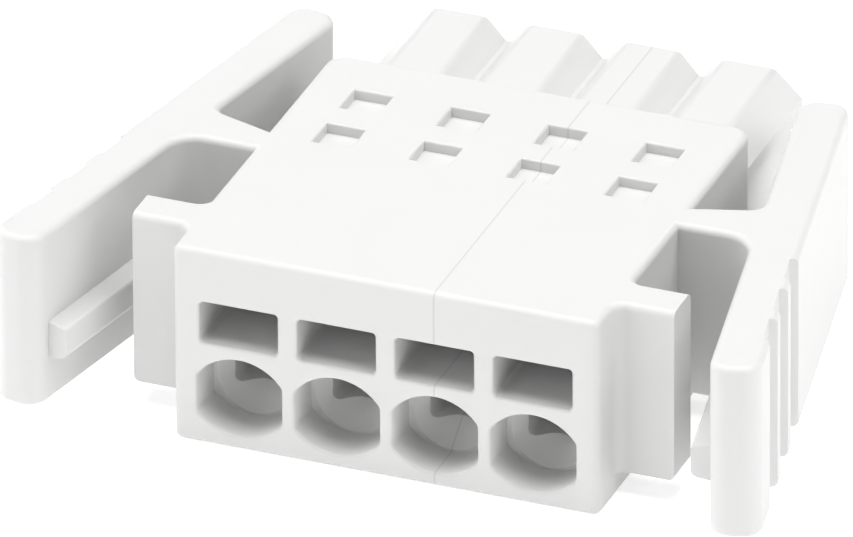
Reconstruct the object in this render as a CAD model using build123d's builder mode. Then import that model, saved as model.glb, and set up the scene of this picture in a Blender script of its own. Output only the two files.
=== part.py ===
from build123d import *
import os
from math import cos, radians, sin, tan

# Multi-pin cable plug: one moulded housing with two latch levers, and in each pole
# a folded contact and a cage spring. Millimetres, +Z up. The origin is the middle of
# the body's bottom face. The wire entries look towards -Y, the mating end towards +Y.

# Poles
pole_count = 4
pole_pitch = 2.5

# Body block between the wire-entry face and the shoulder of the mating end
end_wall = 0.42
body_length = 10.4
body_height = 5.2
front_corner_radius = 0.2
shoulder_corner_radius = 0.5
edge_radius = 0.18
foot_chamfer = 0.08

# Undercut below wings, bridges and levers
side_bottom = 0.65
side_chamfer = 0.06

# Stop wings on the body's sides
wing_reach = 1.48
wing_start = 1.15
wing_thickness = 1.1
wing_fillet = 0.3
wing_toe_radius = 0.15

# Bridges that carry the levers and bend when the levers are squeezed
bridge_start = 5.28
bridge_thickness = 0.94
bridge_rear_lean = 18.0
bridge_front_fillet = 0.8
bridge_rear_fillet = 0.35

# Latch levers, leaning in towards the mating end
lever_gap = 2.94
lever_thickness = 1.25
lever_lean = 11.3
lever_ahead = 0.8
lever_length = 13.5
lever_corner_radius = 0.5

# Grip notches across the outer face of each lever
notch_count = 3
notch_pitch = 1.5
notch_start = 0.75
notch_length = 1.06
notch_depth = 0.2
notch_draft = 0.07

# Guide rib on the inner face of each lever
rib_bottom = 1.79
rib_height = 0.98
rib_reach = 0.5
rib_draft = 0.09
rib_corner_radius = 0.2
rib_start = -0.18

# Release openings above the wire entries
release_wall = 0.51
release_bottom = 2.7
release_height = 1.1
release_corner_radius = 0.1

# Wire entries: barrel-shaped mouth, cone, and wire passage high in the cone
mouth_wall = 0.32
mouth_bottom = 0.34
mouth_height = 2.04
mouth_top_drop = 0.58
mouth_bottom_rise = 0.48
mouth_corner_radius = 0.25
mouth_depth = 1.12
cone_step = 0.13
cone_end_radius = 0.3
cone_depth = 0.9
passage_width = 1.36
passage_height = 1.16
passage_corner_radius = 0.22
rim_chamfer = 0.06

# Pockets in the top face
pocket_size = 0.98
pocket_depth = 0.28
pocket_rows = (6.53, 8.34)

# Mating end: one tower per pole, with sloping grooves between them
tower_length = 4.2
tower_top = 4.55
tower_bottom = 0.5
tower_flat = 1.4
groove_floor = 0.12
groove_depth = 0.56
flank_slope_run = 0.72
flank_slope_drop = 0.7
flank_set_in = 0.3
lip_height = 0.42
flank_wall = 0.36
tower_chamfer = 0.08

# Contact channels, open at the mating face
channel_width = 1.4
channel_floor = 0.95
channel_roof = 4.0
channel_front = 3.2
channel_lead_in = 0.12

# Contacts of folded sheet: a tongue for the wire, a saddle and two arms for the pin
contact_clearance = 0.03
contact_sheet = 0.28
contact_fold_radius = 0.34
tongue_width = 0.8
tongue_bottom = 2.4
tongue_start = 3.45
tongue_corner_radius = 0.15
saddle_start = 7.5
saddle_end = 10.3
arm_bottom = 1.35
arm_height = 0.95
arm_bend_radius = 0.6
arm_throat = 0.44
arm_throat_at = 13.2
arm_flare = 0.15
arm_end = 14.2

# Cage springs: a leg on the tongue, a bow, and a hanging leg with a window
spring_thickness = 0.22
spring_width = 1.2
seat_leg_start = 4.75
bow_at = 6.3
bow_height = 0.98
window_leg_at = 4.1
window_leg_bend = 0.35
window_rim = 0.3
window_clearance = 0.07
window_height = 0.9

# Places worked out from the sizes above
pole_centres = [(pole - (pole_count - 1) / 2) * pole_pitch for pole in range(pole_count)]
body_width = pole_count * pole_pitch + 2 * end_wall
body_side = body_width / 2
front_y = -body_length / 2
shoulder_y = body_length / 2
mating_y = shoulder_y + tower_length
side_height = body_height - side_bottom
lever_x = body_side + lever_gap + lever_thickness / cos(radians(lever_lean))
bridge_front = front_y + bridge_start
bridge_rear = bridge_front + bridge_thickness
wing_front = front_y + wing_start
wing_side = body_side + wing_reach
release_width = pole_pitch - release_wall
mouth_width = pole_pitch - mouth_wall
mouth_centre = mouth_bottom + mouth_height / 2
cone_radius = mouth_width / 2 - cone_step
passage_centre = channel_floor + passage_height / 2
tower_side = body_side - flank_set_in
flank_side = pole_centres[-1] + channel_width / 2 + flank_wall
tongue_top = tongue_bottom + contact_sheet
saddle_side = channel_width / 2 - contact_clearance
overrun = 0.2


def on_lever(along, outward=0.0):
    """Plan point at a distance along the right lever's outer face, and out of that face."""
    lean = radians(lever_lean)
    x = lever_x + outward * cos(lean) - along * sin(lean)
    y = front_y + outward * sin(lean) + along * cos(lean)
    return (x, y)


def lever_inside(y):
    """X of the right lever's inner face at a given Y."""
    return lever_x - lever_thickness / cos(radians(lever_lean)) - (y - front_y) * tan(radians(lever_lean))


def bridge_back(x):
    """Y of the bridge's slanted rear face at a given X."""
    return bridge_rear + (x - body_side) * tan(radians(bridge_rear_lean))


bridge_front_corner = (lever_inside(bridge_front), bridge_front)
bridge_rear_corner_x = lever_inside(bridge_back(lever_inside(bridge_rear)))
bridge_rear_corner = (bridge_rear_corner_x, bridge_back(bridge_rear_corner_x))
lever_middle = lever_thickness / 2

# Corners of the plan outline on the right-hand side, each with its radius
plan_corners = [
    ((body_side, front_y), front_corner_radius),
    ((body_side, shoulder_y), shoulder_corner_radius),
    ((body_side, wing_front), wing_fillet),
    ((body_side, wing_front + wing_thickness), wing_fillet),
    (bridge_front_corner, bridge_front_fillet),
    (bridge_rear_corner, bridge_rear_fillet),
    (on_lever(-lever_ahead), lever_corner_radius),
    (on_lever(-lever_ahead, -lever_thickness), lever_corner_radius),
    (on_lever(lever_length - lever_ahead), lever_corner_radius),
    (on_lever(lever_length - lever_ahead, -lever_thickness), lever_corner_radius),
]

with BuildPart() as housing:
    # Body, wings, bridges and levers in one plan outline
    with BuildSketch(Plane.XY.offset(side_bottom)) as plan:
        Rectangle(body_width, body_length)
        with Locations((wing_side, wing_front)):
            Rectangle(wing_reach + overrun, wing_thickness, align=(Align.MAX, Align.MIN))
        with BuildLine():
            Polyline(
                (body_side - overrun, bridge_front),
                (bridge_front_corner[0] + lever_middle, bridge_front),
                (bridge_rear_corner[0] + lever_middle, bridge_back(bridge_rear_corner[0] + lever_middle)),
                (body_side - overrun, bridge_back(body_side - overrun)),
                close=True,
            )
        make_face()
        with BuildLine():
            Polyline(
                on_lever(-lever_ahead),
                on_lever(lever_length - lever_ahead),
                on_lever(lever_length - lever_ahead, -lever_thickness),
                on_lever(-lever_ahead, -lever_thickness),
                close=True,
            )
        make_face()
        mirror(about=Plane.YZ)
        for (corner_x, corner_y), radius in plan_corners:
            for side in (1, -1):
                corner = plan.vertices().sort_by_distance((side * corner_x, corner_y, 0))[0]
                fillet(corner, radius)
    extrude(amount=side_height)

    # Body below the undercut
    with BuildSketch(Plane.XY) as foot:
        Rectangle(body_width, body_length)
        fillet(foot.vertices().group_by(Axis.Y)[0], front_corner_radius)
        fillet(foot.vertices().group_by(Axis.Y)[-1], shoulder_corner_radius)
    extrude(amount=side_bottom)

    # Chamfers under the levers and bridges
    undersides = housing.edges().filter_by(
        lambda edge: abs(edge.center().Z - side_bottom) < 0.01
        and abs(edge.center().X) > body_side + 0.02
        and (edge.center().Y > bridge_front - overrun or abs(edge.center().X) > wing_side + lever_gap / 4)
    )
    chamfer(undersides, side_chamfer)

    # Rounded rim of the top face, all but the wings' ends, and chamfered rim of the foot
    top_face = housing.faces().sort_by(Axis.Z)[-1]
    rim = top_face.outer_wire().edges().filter_by(
        lambda edge: edge.center().Y > bridge_front or abs(abs(edge.center().X) - wing_side) > 0.01
    )
    fillet(rim, edge_radius)
    chamfer(housing.faces().sort_by(Axis.Z)[0].outer_wire().edges(), foot_chamfer)

    # Rounded toes of the wings
    with BuildSketch(Plane.XZ.offset(-wing_front - wing_thickness)):
        for side in (1, -1):
            with Locations((side * (wing_side - wing_toe_radius / 2), side_bottom + wing_toe_radius / 2)):
                Rectangle(wing_toe_radius, wing_toe_radius)
        for side in (1, -1):
            with Locations((side * (wing_side - wing_toe_radius), side_bottom + wing_toe_radius)):
                Circle(wing_toe_radius, mode=Mode.SUBTRACT)
    extrude(amount=wing_thickness, mode=Mode.SUBTRACT)

    # Grip notches through the full height of the levers
    with BuildSketch(Plane.XY.offset(side_bottom - overrun)):
        for notch in range(notch_count):
            first = notch_start + notch * notch_pitch
            last = first + notch_length
            with BuildLine():
                Polyline(
                    on_lever(first - notch_draft, notch_draft),
                    on_lever(first + notch_draft, -notch_depth),
                    on_lever(last - notch_draft, -notch_depth),
                    on_lever(last + notch_draft, notch_draft),
                    close=True,
                )
            make_face()
        mirror(about=Plane.YZ)
    extrude(amount=side_height + 2 * overrun, mode=Mode.SUBTRACT)

    # Guide ribs, from the front of the levers to the bridges
    rib_length = (bridge_front + overrun - front_y) / cos(radians(lever_lean)) - rib_start
    rib_x, rib_y = on_lever(rib_start, -lever_thickness)
    for side in (1, -1):
        rib_end = Plane(
            origin=(side * rib_x, rib_y, rib_bottom),
            x_dir=(-side * cos(radians(lever_lean)), -sin(radians(lever_lean)), 0),
            z_dir=(-side * sin(radians(lever_lean)), cos(radians(lever_lean)), 0),
        )
        with BuildSketch(rib_end) as rib:
            with BuildLine():
                Polyline(
                    (-overrun, 0),
                    (0, 0),
                    (rib_reach, side * rib_draft),
                    (rib_reach, side * (rib_height - rib_draft)),
                    (0, side * rib_height),
                    (-overrun, side * rib_height),
                    close=True,
                )
            make_face()
            lower_corner = rib.vertices().sort_by_distance((rib_reach, side * rib_draft, 0))[0]
            fillet(lower_corner, rib_corner_radius)
        extrude(amount=rib_length)

    # Mating end with its grooves, outer slopes and recessed flanks
    with BuildSketch(Plane.XZ.offset(-shoulder_y)) as mating_profile:
        with Locations((0, tower_bottom)):
            Rectangle(2 * tower_side, tower_top - tower_bottom, align=(Align.CENTER, Align.MIN))
        for pole_x in pole_centres[:-1]:
            middle = pole_x + pole_pitch / 2
            mouth_half = (pole_pitch - tower_flat) / 2
            with BuildLine():
                Polyline(
                    (middle - mouth_half, tower_top),
                    (middle - groove_floor / 2, tower_top - groove_depth),
                    (middle + groove_floor / 2, tower_top - groove_depth),
                    (middle + mouth_half, tower_top),
                    close=True,
                )
            make_face(mode=Mode.SUBTRACT)
        lip_top = tower_top - flank_slope_drop
        lip_bottom = lip_top - lip_height
        for side in (1, -1):
            with BuildLine():
                Polyline(
                    (side * (tower_side - flank_slope_run), tower_top),
                    (side * tower_side, tower_top),
                    (side * tower_side, lip_top),
                    close=True,
                )
            make_face(mode=Mode.SUBTRACT)
            with Locations((side * (flank_side + tower_side) / 2, tower_bottom)):
                Rectangle(
                    tower_side - flank_side,
                    lip_bottom - tower_bottom,
                    align=(Align.CENTER, Align.MIN),
                    mode=Mode.SUBTRACT,
                )
    extrude(amount=-tower_length)
    mating_face = housing.faces().sort_by(Axis.Y)[-1]
    chamfer(mating_face.outer_wire().edges(), tower_chamfer)

    # Release openings
    with BuildSketch(Plane.XZ.offset(-front_y)):
        with Locations([(pole_x, release_bottom + release_height / 2) for pole_x in pole_centres]):
            RectangleRounded(release_width, release_height, release_corner_radius)
    extrude(amount=-channel_front - overrun, mode=Mode.SUBTRACT)

    # Wire entries, one after the other
    for pole_x in pole_centres:
        entry = Plane(origin=(pole_x, front_y, mouth_centre), x_dir=(-1, 0, 0), z_dir=(0, 1, 0))
        half_width = mouth_width / 2
        half_height = mouth_height / 2
        with BuildSketch(entry) as mouth:
            with BuildLine():
                crown = ThreePointArc(
                    (-half_width, half_height - mouth_top_drop),
                    (0, half_height),
                    (half_width, half_height - mouth_top_drop),
                )
                sole = ThreePointArc(
                    (-half_width, mouth_bottom_rise - half_height),
                    (0, -half_height),
                    (half_width, mouth_bottom_rise - half_height),
                )
                Line(crown @ 0, sole @ 0)
                Line(crown @ 1, sole @ 1)
            make_face()
            fillet(mouth.vertices(), mouth_corner_radius)
        extrude(amount=mouth_depth, mode=Mode.SUBTRACT)
        with Locations(entry.offset(mouth_depth)):
            Cone(
                cone_radius,
                cone_end_radius,
                cone_depth,
                align=(Align.CENTER, Align.CENTER, Align.MIN),
                mode=Mode.SUBTRACT,
            )
        with BuildSketch(entry.offset(mouth_depth)):
            with Locations((0, passage_centre - mouth_centre)):
                RectangleRounded(passage_width, passage_height, passage_corner_radius)
        extrude(amount=channel_front + overrun - mouth_depth, mode=Mode.SUBTRACT)

    # Contact channels with a lead-in at the mating face
    with BuildSketch(Plane.XZ.offset(-mating_y)):
        with Locations([(pole_x, (channel_floor + channel_roof) / 2) for pole_x in pole_centres]):
            Rectangle(channel_width, channel_roof - channel_floor)
    channel_length = mating_y - front_y - channel_front
    extrude(amount=channel_length, mode=Mode.SUBTRACT)
    mating_face = housing.faces().sort_by(Axis.Y)[-1]
    chamfer(mating_face.inner_wires().edges(), channel_lead_in)

    # Broken edges of the release openings and wire entries
    front_face = housing.faces().filter_by(Plane.XZ).filter_by(
        lambda face: abs(face.center().Y - front_y) < 0.01
    )
    chamfer(front_face.sort_by(SortBy.AREA)[-1].inner_wires().edges(), rim_chamfer)

    # Pockets in the top face
    with BuildSketch(Plane.XY.offset(body_height)):
        with Locations([(pole_x, front_y + row) for pole_x in pole_centres for row in pocket_rows]):
            Rectangle(pocket_size, pocket_size)
    extrude(amount=-pocket_depth, mode=Mode.SUBTRACT)

os.makedirs("parts", exist_ok=True)
housing.part.label = "housing"
export_step(housing.part, "parts/housing.step")

for pole, pole_x in enumerate(pole_centres, start=1):
    with BuildPart() as contact:
        # Saddle: an inverted channel that stands on the channel floor
        with BuildSketch(Plane((pole_x, front_y + saddle_start, 0), x_dir=(-1, 0, 0), z_dir=(0, 1, 0))) as bend:
            with Locations((0, channel_floor)):
                Rectangle(2 * saddle_side, tongue_top - channel_floor, align=(Align.CENTER, Align.MIN))
            fillet(bend.vertices().group_by(Axis.Y)[-1], contact_fold_radius)
            with BuildSketch(mode=Mode.PRIVATE) as hollow:
                with Locations((0, channel_floor)):
                    Rectangle(
                        2 * (saddle_side - contact_sheet),
                        tongue_bottom - channel_floor,
                        align=(Align.CENTER, Align.MIN),
                    )
                fillet(hollow.vertices().group_by(Axis.Y)[-1], contact_fold_radius - contact_sheet)
            add(hollow.sketch, mode=Mode.SUBTRACT)
        extrude(amount=saddle_end - saddle_start)

        # Tongue that the wire is pressed against
        with BuildSketch(Plane((pole_x, front_y + tongue_start, tongue_bottom))) as blade:
            tongue_length = saddle_start + overrun - tongue_start
            Rectangle(tongue_width, tongue_length, align=(Align.CENTER, Align.MIN))
            fillet(blade.vertices().group_by(Axis.Y)[0], tongue_corner_radius)
        extrude(amount=contact_sheet)

        # Arms that close on the pin and open again in a lead-in
        arm_start_x = saddle_side - contact_sheet / 2
        arm_throat_x = (arm_throat + contact_sheet) / 2
        with BuildSketch(Plane((pole_x, front_y, arm_bottom))):
            with BuildLine() as arm:
                FilletPolyline(
                    (arm_start_x, saddle_end - overrun),
                    (arm_start_x, saddle_end),
                    (arm_throat_x, arm_throat_at),
                    (arm_throat_x + arm_flare, arm_end),
                    radius=arm_bend_radius,
                )
            trace(line_width=contact_sheet)
            mirror(about=Plane.YZ)
        extrude(amount=arm_height)
    contact.part.label = f"contact_{pole}"
    export_step(contact.part, f"parts/contact_{pole}.step")

    with BuildPart() as clamp_spring:
        # Strip from the seat on the tongue, over the bow, to the hanging leg
        seat_height = tongue_top + spring_thickness / 2
        top_height = seat_height + bow_height
        with BuildSketch(Plane((pole_x, front_y, 0), x_dir=(0, 1, 0), z_dir=(1, 0, 0))):
            with BuildLine():
                seat = Line((seat_leg_start, seat_height), (bow_at, seat_height))
                bow = TangentArc(seat @ 1, (bow_at, top_height), tangent=seat % 1)
                FilletPolyline(
                    bow @ 1,
                    (window_leg_at, top_height),
                    (window_leg_at, tongue_bottom - window_rim),
                    radius=window_leg_bend,
                )
            trace(line_width=spring_thickness)
        extrude(amount=spring_width / 2, both=True)

        # Window that the tongue and the wire pass through
        leg_face = Plane((pole_x, front_y + window_leg_at, 0), x_dir=(-1, 0, 0), z_dir=(0, 1, 0))
        with BuildSketch(leg_face):
            with Locations((0, tongue_bottom)):
                Rectangle(
                    tongue_width + 2 * window_clearance,
                    window_height,
                    align=(Align.CENTER, Align.MIN),
                )
        extrude(amount=spring_thickness, both=True, mode=Mode.SUBTRACT)
    clamp_spring.part.label = f"clamp_spring_{pole}"
    export_step(clamp_spring.part, f"parts/clamp_spring_{pole}.step")
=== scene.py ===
"""White cable plug with spring-clamp wire entries and two latch levers, dressed and lit.

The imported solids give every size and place. This script rounds three kinds of edge on the
moulded housing, gives the plastic and the two metals their finishes, and sets the studio: a
pale light table, soft boxes and a long lens at the photograph's angle. Lengths are in
metres, powers in watts and angles in radians.
"""

import logging
import math
from dataclasses import dataclass, field
from enum import Enum

import bmesh
import bpy
from mathutils import Matrix, Vector


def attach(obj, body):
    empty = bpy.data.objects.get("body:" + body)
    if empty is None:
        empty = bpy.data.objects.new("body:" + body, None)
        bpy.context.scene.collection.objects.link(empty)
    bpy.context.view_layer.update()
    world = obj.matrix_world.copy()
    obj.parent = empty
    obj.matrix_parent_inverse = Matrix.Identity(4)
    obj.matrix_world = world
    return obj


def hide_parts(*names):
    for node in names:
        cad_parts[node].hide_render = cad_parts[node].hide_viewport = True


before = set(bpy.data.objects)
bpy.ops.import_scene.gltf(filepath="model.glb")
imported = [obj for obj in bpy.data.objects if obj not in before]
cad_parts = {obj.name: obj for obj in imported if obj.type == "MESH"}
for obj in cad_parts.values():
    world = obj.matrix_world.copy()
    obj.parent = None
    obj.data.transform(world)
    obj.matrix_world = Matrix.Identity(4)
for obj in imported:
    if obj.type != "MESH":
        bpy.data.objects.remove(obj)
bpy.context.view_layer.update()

MM = 0.001
MERGE_DISTANCE = 0.0002 * MM
FLAT_ANGLE = math.radians(0.5)
GRAIN_DETAIL = 2.0
PATCH_DETAIL = 3.0
WHITE = (1.0, 1.0, 1.0, 1.0)
LOG = logging.getLogger("cable_plug")


class Socket(Enum):
    """Kinds of socket on a shader node group."""

    NUMBER = "NodeSocketFloat"
    VECTOR = "NodeSocketVector"


def deselect_all() -> None:
    """Leave object mode free of any selection."""
    if bpy.context.object is not None and bpy.context.object.mode != "OBJECT":
        bpy.ops.object.mode_set(mode="OBJECT")
    bpy.ops.object.select_all(action="DESELECT")


def make_active(piece: bpy.types.Object) -> None:
    """Select one object alone and make it the active one.

    Args:
        piece: The object to select.
    """
    deselect_all()
    piece.select_set(True)
    bpy.context.view_layer.objects.active = piece


def copy_node(node: str, name: str) -> bpy.types.Object:
    """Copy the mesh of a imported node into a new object, as one closed, merged surface.

    Args:
        node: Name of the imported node.
        name: Name of the new piece.

    Returns:
        The new object, with its place in its mesh.
    """
    piece = bpy.data.objects.new(name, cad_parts[node].data.copy())
    piece.data.materials.clear()
    bpy.context.scene.collection.objects.link(piece)
    make_active(piece)
    bpy.ops.object.mode_set(mode="EDIT")
    bpy.ops.mesh.select_all(action="SELECT")
    bpy.ops.mesh.customdata_custom_splitnormals_clear()
    bpy.ops.mesh.remove_doubles(threshold=MERGE_DISTANCE)
    bpy.ops.mesh.dissolve_limited(angle_limit=FLAT_ANGLE)
    bpy.ops.object.mode_set(mode="OBJECT")
    return piece


@dataclass
class NodeGroup:
    """A shader node group with named inputs and outputs."""

    name: str
    inputs: dict[str, tuple[Socket, float | None]]
    outputs: dict[str, Socket]
    tree: bpy.types.ShaderNodeTree = field(init=False)
    start: bpy.types.Node = field(init=False)
    end: bpy.types.Node = field(init=False)

    def __post_init__(self) -> None:
        """Make the empty group and its sockets."""
        self.tree = bpy.data.node_groups.new(self.name, "ShaderNodeTree")
        for label, (kind, value) in self.inputs.items():
            socket = self.new_socket(label, "INPUT", kind)
            if value is not None:
                socket.default_value = value
        for label, kind in self.outputs.items():
            self.new_socket(label, "OUTPUT", kind)
        self.start = self.tree.nodes.new("NodeGroupInput")
        self.end = self.tree.nodes.new("NodeGroupOutput")

    def new_socket(
        self, label: str, side: str, kind: Socket
    ) -> bpy.types.NodeTreeInterfaceSocket:
        """Add an input or output socket to the group."""
        interface = self.tree.interface
        return interface.new_socket(label, in_out=side, socket_type=kind.value)

    def node(self, kind: str, **settings: str | int | float | bool) -> bpy.types.Node:
        """Add a node to the group.

        Args:
            kind: Blender's name for the kind of node.
            **settings: Properties of the node, by name.

        Returns:
            The new node.
        """
        made = self.tree.nodes.new(kind)
        for label, value in settings.items():
            setattr(made, label, value)
        return made

    def link(self, source: bpy.types.NodeSocket, target: bpy.types.NodeSocket) -> None:
        """Join two sockets of the group."""
        self.tree.links.new(source, target)

    def math(
        self,
        operation: str,
        first: bpy.types.NodeSocket | float,
        second: bpy.types.NodeSocket | float | None = None,
    ) -> bpy.types.NodeSocket:
        """Add a Math node fed by sockets or plain numbers.

        Args:
            operation: Blender's name of the operation.
            first: Socket or number for the first input.
            second: Socket or number for the second input.

        Returns:
            The node's output socket.
        """
        made = self.node("ShaderNodeMath", operation=operation)
        for place, value in enumerate((first, second)):
            if isinstance(value, bpy.types.NodeSocket):
                self.link(value, made.inputs[place])
            elif value is not None:
                made.inputs[place].default_value = value
        return made.outputs[0]


def build_fine_texture() -> bpy.types.ShaderNodeTree:
    """Build the fine surface texture that the plastic and both metals share.

    Returns:
        A group that puts out an uneven shade, a roughness and a height.
    """
    group = NodeGroup(
        "fine_texture",
        {
            "Vector": (Socket.VECTOR, None),
            "Grain Size": (Socket.NUMBER, 0.05 * MM),
            "Patch Size": (Socket.NUMBER, 2.0 * MM),
            "Shade Change": (Socket.NUMBER, 0.02),
            "Roughness": (Socket.NUMBER, 0.4),
            "Roughness Change": (Socket.NUMBER, 0.05),
        },
        {"Shade": Socket.NUMBER, "Roughness": Socket.NUMBER, "Height": Socket.NUMBER},
    )
    grain = group.node("ShaderNodeTexNoise", noise_dimensions="3D")
    grain.inputs["Detail"].default_value = GRAIN_DETAIL
    patch = group.node("ShaderNodeTexNoise", noise_dimensions="3D")
    patch.inputs["Detail"].default_value = PATCH_DETAIL
    for texture, label in ((grain, "Grain Size"), (patch, "Patch Size")):
        group.link(group.start.outputs["Vector"], texture.inputs["Vector"])
        scale = group.math("DIVIDE", 1.0, group.start.outputs[label])
        group.link(scale, texture.inputs["Scale"])
    patch_offset = group.math("SUBTRACT", patch.outputs["Fac"], 0.5)
    shade_offset = group.math("MULTIPLY", patch_offset, group.start.outputs["Shade Change"])
    shade = group.math("ADD", shade_offset, 1.0)
    grain_offset = group.math("SUBTRACT", grain.outputs["Fac"], 0.5)
    both_offsets = group.math("ADD", grain_offset, patch_offset)
    change = group.math("MULTIPLY", both_offsets, group.start.outputs["Roughness Change"])
    roughness = group.math("ADD", change, group.start.outputs["Roughness"])
    group.link(shade, group.end.inputs["Shade"])
    group.link(roughness, group.end.inputs["Roughness"])
    group.link(grain.outputs["Fac"], group.end.inputs["Height"])
    return group.tree


def build_witness_line() -> bpy.types.ShaderNodeTree:
    """Build the thin line that two halves of the mould leave where they meet. The plastic
    darkens its colour along it, as painted shade of the line's fine groove.

    Returns:
        A group that puts out 1 on the line and 0 away from it.
    """
    group = NodeGroup(
        "witness_line",
        {
            "Vector": (Socket.VECTOR, None),
            "Plane X": (Socket.NUMBER, 0.0),
            "Half Width": (Socket.NUMBER, 0.02 * MM),
        },
        {"Line": Socket.NUMBER},
    )
    split = group.node("ShaderNodeSeparateXYZ")
    group.link(group.start.outputs["Vector"], split.inputs["Vector"])
    offset = group.math("SUBTRACT", split.outputs["X"], group.start.outputs["Plane X"])
    distance = group.math("ABSOLUTE", offset)
    ratio = group.math("DIVIDE", distance, group.start.outputs["Half Width"])
    rest = group.math("SUBTRACT", 1.0, ratio)
    line = group.node("ShaderNodeClamp")
    group.link(rest, line.inputs["Value"])
    group.link(line.outputs[0], group.end.inputs["Line"])
    return group.tree


@dataclass(frozen=True)
class Finish:
    """Colour and texture that every finish of the plug has."""

    name: str
    colour: tuple[float, float, float]
    roughness: float
    roughness_change: float
    grain_size: float
    grain_depth: float
    patch_size: float
    shade_change: float

    def start(self, fine_texture: bpy.types.ShaderNodeTree) -> "MaterialParts":
        """Make the material with its shared texture.

        Args:
            fine_texture: The shared texture group.

        Returns:
            The material and the nodes that a finish goes on from.
        """
        material = bpy.data.materials.new(self.name)
        material.use_nodes = True
        tree = material.node_tree
        shader = tree.nodes["Principled BSDF"]
        place = tree.nodes.new("ShaderNodeTexCoord")
        texture = tree.nodes.new("ShaderNodeGroup")
        texture.node_tree = fine_texture
        texture.inputs["Grain Size"].default_value = self.grain_size
        texture.inputs["Patch Size"].default_value = self.patch_size
        texture.inputs["Shade Change"].default_value = self.shade_change
        texture.inputs["Roughness"].default_value = self.roughness
        texture.inputs["Roughness Change"].default_value = self.roughness_change
        tree.links.new(place.outputs["Object"], texture.inputs["Vector"])
        tree.links.new(texture.outputs["Roughness"], shader.inputs["Roughness"])
        colour = tree.nodes.new("ShaderNodeVectorMath")
        colour.operation = "SCALE"
        colour.inputs[0].default_value = self.colour
        tree.links.new(texture.outputs["Shade"], colour.inputs["Scale"])
        bump = tree.nodes.new("ShaderNodeBump")
        bump.inputs["Strength"].default_value = 1.0
        bump.inputs["Distance"].default_value = self.grain_depth
        tree.links.new(texture.outputs["Height"], bump.inputs["Height"])
        tree.links.new(bump.outputs["Normal"], shader.inputs["Normal"])
        return MaterialParts(material, shader, place, colour)


@dataclass(frozen=True)
class MaterialParts:
    """A material and the nodes that a finish adds to."""

    material: bpy.types.Material
    shader: bpy.types.Node
    place: bpy.types.Node
    colour: bpy.types.Node


@dataclass(frozen=True)
class MouldedPlastic(Finish):
    """Satin white polyamide with the witness line of the mould, whose fine groove is painted
    as a darker line of painted shade.
    """

    line_x: float = 1.25 * MM
    line_half_width: float = 0.034 * MM
    line_painted_shade: float = 0.8
    subsurface: float = 0.06
    subsurface_depth: float = 0.25 * MM
    subsurface_reach: tuple[float, float, float] = (1.0, 0.95, 0.9)
    specular: float = 0.35

    def build(
        self, fine_texture: bpy.types.ShaderNodeTree, witness_line: bpy.types.ShaderNodeTree
    ) -> bpy.types.Material:
        """Make the plastic.

        Args:
            fine_texture: The shared texture group.
            witness_line: The group of the mould's line.

        Returns:
            The finished material.
        """
        parts = self.start(fine_texture)
        tree = parts.material.node_tree
        line = tree.nodes.new("ShaderNodeGroup")
        line.node_tree = witness_line
        line.inputs["Plane X"].default_value = self.line_x
        line.inputs["Half Width"].default_value = self.line_half_width
        tree.links.new(parts.place.outputs["Object"], line.inputs["Vector"])
        # Painted shade: the colour is darkened along the witness line, standing in for the
        # shade in its fine groove.
        painted_groove_shade = tree.nodes.new("ShaderNodeMapRange")
        painted_groove_shade.inputs["To Min"].default_value = 1.0
        painted_groove_shade.inputs["To Max"].default_value = self.line_painted_shade
        tree.links.new(line.outputs["Line"], painted_groove_shade.inputs["Value"])
        lined = tree.nodes.new("ShaderNodeVectorMath")
        lined.operation = "SCALE"
        tree.links.new(parts.colour.outputs[0], lined.inputs[0])
        tree.links.new(painted_groove_shade.outputs["Result"], lined.inputs["Scale"])
        tree.links.new(lined.outputs[0], parts.shader.inputs["Base Color"])
        parts.shader.inputs["Subsurface Weight"].default_value = self.subsurface
        parts.shader.inputs["Subsurface Radius"].default_value = self.subsurface_reach
        parts.shader.inputs["Subsurface Scale"].default_value = self.subsurface_depth
        parts.shader.inputs["Specular IOR Level"].default_value = self.specular
        return parts.material


@dataclass(frozen=True)
class PlainMetal(Finish):
    """Sheet metal with its rolled grain."""

    def build(self, fine_texture: bpy.types.ShaderNodeTree) -> bpy.types.Material:
        """Make the metal.

        Args:
            fine_texture: The shared texture group.

        Returns:
            The finished material.
        """
        parts = self.start(fine_texture)
        links = parts.material.node_tree.links
        links.new(parts.colour.outputs[0], parts.shader.inputs["Base Color"])
        parts.shader.inputs["Metallic"].default_value = 1.0
        return parts.material


WHITE_POLYAMIDE = MouldedPlastic(
    name="white_polyamide",
    colour=(0.65, 0.65, 0.646),
    roughness=0.46,
    roughness_change=0.08,
    grain_size=0.06 * MM,
    grain_depth=0.001 * MM,
    patch_size=1.6 * MM,
    shade_change=0.012,
)
TINNED_COPPER = PlainMetal(
    name="tinned_copper",
    colour=(0.72, 0.71, 0.68),
    roughness=0.34,
    roughness_change=0.12,
    grain_size=0.05 * MM,
    grain_depth=0.0015 * MM,
    patch_size=0.8 * MM,
    shade_change=0.08,
)
SPRING_STEEL = PlainMetal(
    name="spring_steel",
    colour=(0.52, 0.52, 0.53),
    roughness=0.3,
    roughness_change=0.1,
    grain_size=0.04 * MM,
    grain_depth=0.001 * MM,
    patch_size=0.6 * MM,
    shade_change=0.1,
)


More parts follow.
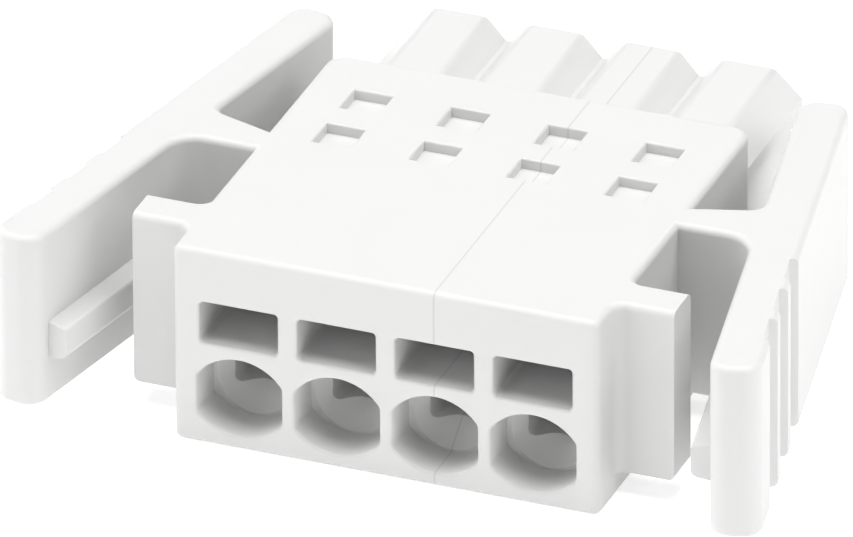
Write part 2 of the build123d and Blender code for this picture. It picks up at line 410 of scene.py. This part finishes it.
@dataclass(frozen=True)
class RoundedEdges:
    """Outer edges in one region of the housing, which the mould leaves round.

    The region is given for the right half of the housing, and counts for the left half too.
    Widths are those of the flat cut that the rounding fills.
    """

    name: str
    low: tuple[float, float, float]
    high: tuple[float, float, float]
    width: float
    shortest: float = 0.4 * MM
    segments: int = 3
    least_angle: float = math.radians(32.0)

    def holds(self, edge: bmesh.types.BMEdge) -> bool:
        """Tell whether an edge is long, convex and in the region.

        Args:
            edge: An edge of the merged housing.

        Returns:
            True for an edge to round.
        """
        x, y, z = (edge.verts[0].co + edge.verts[1].co) / 2.0
        limits = zip(self.low, (abs(x), y, z), self.high)
        inside = all(low <= at <= high for low, at, high in limits)
        long_enough = edge.calc_length() >= self.shortest
        return inside and long_enough and edge.calc_face_angle_signed() > self.least_angle

    def cut(self, piece: bpy.types.Object) -> int:
        """Round the edges of the region.

        Args:
            piece: The merged housing.

        Returns:
            How many edges were rounded.
        """
        make_active(piece)
        bpy.ops.object.mode_set(mode="EDIT")
        bpy.ops.mesh.select_mode(type="EDGE")
        bpy.ops.mesh.select_all(action="DESELECT")
        mesh = bmesh.from_edit_mesh(piece.data)
        chosen = [edge for edge in mesh.edges if self.holds(edge)]
        for edge in chosen:
            edge.select_set(True)
        bmesh.update_edit_mesh(piece.data)
        bpy.ops.mesh.bevel(offset=self.width, segments=self.segments, clamp_overlap=True)
        bpy.ops.object.mode_set(mode="OBJECT")
        return len(chosen)


ROUNDED_EDGES = (
    RoundedEdges(
        name="pocket_rims",
        low=(0.7 * MM, 0.8 * MM, 5.19 * MM),
        high=(4.3 * MM, 3.7 * MM, 5.21 * MM),
        width=0.06 * MM,
    ),
    RoundedEdges(
        name="tower_ridges",
        low=(0.5 * MM, 5.3 * MM, 4.54 * MM),
        high=(4.5 * MM, 9.2 * MM, 4.56 * MM),
        width=0.13 * MM,
        shortest=1.0 * MM,
    ),
    RoundedEdges(
        name="rib_edges",
        low=(6.6 * MM, -5.8 * MM, 2.6 * MM),
        high=(8.4 * MM, 0.2 * MM, 2.75 * MM),
        width=0.08 * MM,
    ),
)


@dataclass
class Housing:
    """The moulded housing with its levers, wings and towers."""

    node: str = "housing"
    material_slot: str = "housing"
    smooth_angle: float = math.radians(32.0)
    flat_face_weight: int = 100
    front_y: float = -5.2 * MM
    rim_depth: float = 0.07 * MM
    rim_side: float = 4.95 * MM
    rim_low: float = 0.25 * MM
    rim_high: float = 3.95 * MM

    def build(self, plastic: bpy.types.Material) -> bpy.types.Object:
        """Make the housing with its rounded edges and its finish.

        Args:
            plastic: The finish of the housing.

        Returns:
            The finished piece.
        """
        piece = copy_node(self.node, "moulded_housing")
        for edges in ROUNDED_EDGES:
            LOG.info("%s: %d edges", edges.name, edges.cut(piece))
        self.smooth(piece)
        piece.data.materials.append(plastic)
        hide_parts(self.node)
        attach(piece, "root")
        return piece

    def smooth(self, piece: bpy.types.Object) -> None:
        """Shade curves as smooth and flat faces as flat.

        Args:
            piece: The housing with its rounded edges.
        """
        make_active(piece)
        bpy.ops.object.shade_smooth_by_angle(angle=self.smooth_angle)
        places = [vertex.co for vertex in piece.data.vertices]
        for edge in piece.data.edges:
            if all(self.on_rim(places[index]) for index in edge.vertices):
                edge.use_edge_sharp = False
        flatten = piece.modifiers.new("flat_faces", "WEIGHTED_NORMAL")
        flatten.mode = "FACE_AREA"
        flatten.weight = self.flat_face_weight
        flatten.keep_sharp = True
        bpy.ops.object.modifier_apply(modifier=flatten.name)

    def on_rim(self, place: Vector) -> bool:
        """Tell whether a point is on the rim of a front opening, where light fades softly."""
        in_front = place.y < self.front_y + self.rim_depth
        in_width = abs(place.x) < self.rim_side
        return in_front and in_width and self.rim_low < place.z < self.rim_high


@dataclass
class MetalParts:
    """Contacts and cage springs, one of each in every pole."""

    poles: int = 4

    def dress(
        self, tinned: bpy.types.Material, steel: bpy.types.Material
    ) -> list[bpy.types.Object]:
        """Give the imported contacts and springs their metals.

        Args:
            tinned: The finish of the contacts.
            steel: The finish of the springs.

        Returns:
            The dressed nodes.
        """
        dressed = []
        for kind, metal in (("contact", tinned), ("clamp_spring", steel)):
            for pole in range(1, self.poles + 1):
                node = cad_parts[f"{kind}_{pole}"]
                node.data.materials.clear()
                node.data.materials.append(metal)
                dressed.append(node)
        return dressed


@dataclass(frozen=True)
class SoftBox:
    """A square soft box that looks at the plug."""

    name: str
    place: tuple[float, float, float]
    side: float
    power: float

    def build(self) -> bpy.types.Object:
        """Hang the soft box.

        Returns:
            The light object.
        """
        lamp = bpy.data.lights.new(self.name, "AREA")
        lamp.shape = "SQUARE"
        lamp.size = self.side
        lamp.energy = self.power
        box = bpy.data.objects.new(self.name, lamp)
        box.location = self.place
        box.rotation_euler = (-Vector(self.place)).to_track_quat("-Z", "Y").to_euler()
        bpy.context.scene.collection.objects.link(box)
        return box


SOFT_BOXES = (
    SoftBox("top_soft_box", place=(0.0, 0.0, 0.3), side=0.26, power=0.95),
    SoftBox("right_top_soft_box", place=(0.2, 0.0, 0.23), side=0.26, power=0.39),
    SoftBox("left_top_soft_box", place=(-0.2, 0.0, 0.23), side=0.26, power=0.21),
    SoftBox("left_soft_box", place=(-0.29, 0.0, 0.1), side=0.24, power=0.34),
    SoftBox("left_front_soft_box", place=(-0.2, -0.2, 0.12), side=0.24, power=0.17),
    SoftBox("front_soft_box", place=(0.0, -0.3, 0.08), side=0.24, power=0.085),
    SoftBox("right_soft_box", place=(0.29, 0.0, 0.1), side=0.24, power=0.16),
)


@dataclass(frozen=True)
class Studio:
    """Light table, soft boxes and a white room."""

    table_size: float = 1.2
    table_gap: float = 0.005 * MM
    table_colour: tuple[float, float, float] = (0.93, 0.93, 0.93)
    table_roughness: float = 0.8
    table_specular: float = 0.1
    table_glow: float = 0.4
    seen_table_glow: float = 0.45
    room_light: float = 0.02
    seen_room_light: float = 1.0

    def build(self) -> None:
        """Set up the whole studio."""
        self.build_table()
        self.build_room()
        for box in SOFT_BOXES:
            LOG.info("%s: %.3f W", box.build().name, box.power)

    def build_table(self) -> None:
        """Lay the pale table under the plug, glowing a little as a light table does."""
        deselect_all()
        place = (0.0, 0.0, -self.table_gap)
        bpy.ops.mesh.primitive_plane_add(size=self.table_size, location=place)
        table = bpy.context.active_object
        table.name = "light_table"
        material = bpy.data.materials.new("pale_table")
        material.use_nodes = True
        shader = material.node_tree.nodes["Principled BSDF"]
        shader.inputs["Base Color"].default_value = (*self.table_colour, 1.0)
        shader.inputs["Roughness"].default_value = self.table_roughness
        shader.inputs["Specular IOR Level"].default_value = self.table_specular
        shader.inputs["Emission Color"].default_value = WHITE
        glow = self.seen_or_cast(material.node_tree, self.seen_table_glow, self.table_glow)
        material.node_tree.links.new(glow, shader.inputs["Emission Strength"])
        table.data.materials.append(material)

    def build_room(self) -> None:
        """Make the room behind the table white to look at, and almost dark as a light."""
        world = bpy.data.worlds.new("soft_room")
        world.use_nodes = True
        sky = world.node_tree.nodes["Background"]
        sky.inputs["Color"].default_value = WHITE
        light = self.seen_or_cast(world.node_tree, self.seen_room_light, self.room_light)
        world.node_tree.links.new(light, sky.inputs["Strength"])
        bpy.context.scene.world = world

    def seen_or_cast(
        self, tree: bpy.types.ShaderNodeTree, seen: float, cast: float
    ) -> bpy.types.NodeSocket:
        """Tell how bright a surface looks apart from how much light it casts.

        Args:
            tree: Node tree of the table or of the room.
            seen: Strength for a direct look.
            cast: Strength of the light that falls on other things.

        Returns:
            A socket with the strength.
        """
        path = tree.nodes.new("ShaderNodeLightPath")
        strength = tree.nodes.new("ShaderNodeMapRange")
        strength.inputs["To Min"].default_value = cast
        strength.inputs["To Max"].default_value = seen
        tree.links.new(path.outputs["Is Camera Ray"], strength.inputs["Value"])
        return strength.outputs["Result"]


@dataclass(frozen=True)
class PhotoCamera:
    """Long lens at the photograph's angle."""

    azimuth: float = math.radians(21.561)
    elevation: float = math.radians(28.744)
    roll: float = math.radians(-0.321)
    distance: float = 0.6
    picture_width: float = 853.0
    pixels_per_metre: float = 41820.0
    sensor_width: float = 36.0
    nearest: float = 0.01
    farthest: float = 10.0
    aim: tuple[float, float, float] = (0.0, 0.8 * MM, 2.5 * MM)
    aim_right: float = 1.205 * MM
    aim_down: float = 0.0625 * MM

    def build(self) -> bpy.types.Object:
        """Make the scene's camera.

        Returns:
            The camera object.
        """
        right = Vector((math.cos(self.azimuth), math.sin(self.azimuth), 0.0))
        forward = Vector(
            (
                -math.sin(self.azimuth) * math.cos(self.elevation),
                math.cos(self.azimuth) * math.cos(self.elevation),
                -math.sin(self.elevation),
            )
        )
        up = right.cross(forward)
        data = bpy.data.cameras.new("photo_camera")
        data.sensor_width = self.sensor_width
        focal_pixels = self.pixels_per_metre * self.distance
        data.lens = focal_pixels / self.picture_width * self.sensor_width
        data.clip_start = self.nearest
        data.clip_end = self.farthest
        camera = bpy.data.objects.new("photo_camera", data)
        bpy.context.scene.collection.objects.link(camera)
        turn = Matrix((right, up, -forward)).transposed() @ Matrix.Rotation(self.roll, 3, "Z")
        aim = Vector(self.aim) - right * self.aim_right + up * self.aim_down
        place = aim - forward * self.distance
        camera.matrix_world = Matrix.Translation(place) @ turn.to_4x4()
        bpy.context.scene.camera = camera
        return camera


def main() -> None:
    """Build the plug and its studio in order."""
    logging.basicConfig(level=logging.INFO, format="%(name)s: %(message)s")
    bpy.context.scene.view_settings.view_transform = "Standard"
    fine_texture = build_fine_texture()
    plastic = WHITE_POLYAMIDE.build(fine_texture, build_witness_line())
    housing = Housing().build(plastic)
    LOG.info("%s: %d faces", housing.name, len(housing.data.polygons))
    tinned = TINNED_COPPER.build(fine_texture)
    steel = SPRING_STEEL.build(fine_texture)
    for node in MetalParts().dress(tinned, steel):
        LOG.info("%s: dressed", node.name)
    Studio().build()
    PhotoCamera().build()


if __name__ == "__main__":
    main()
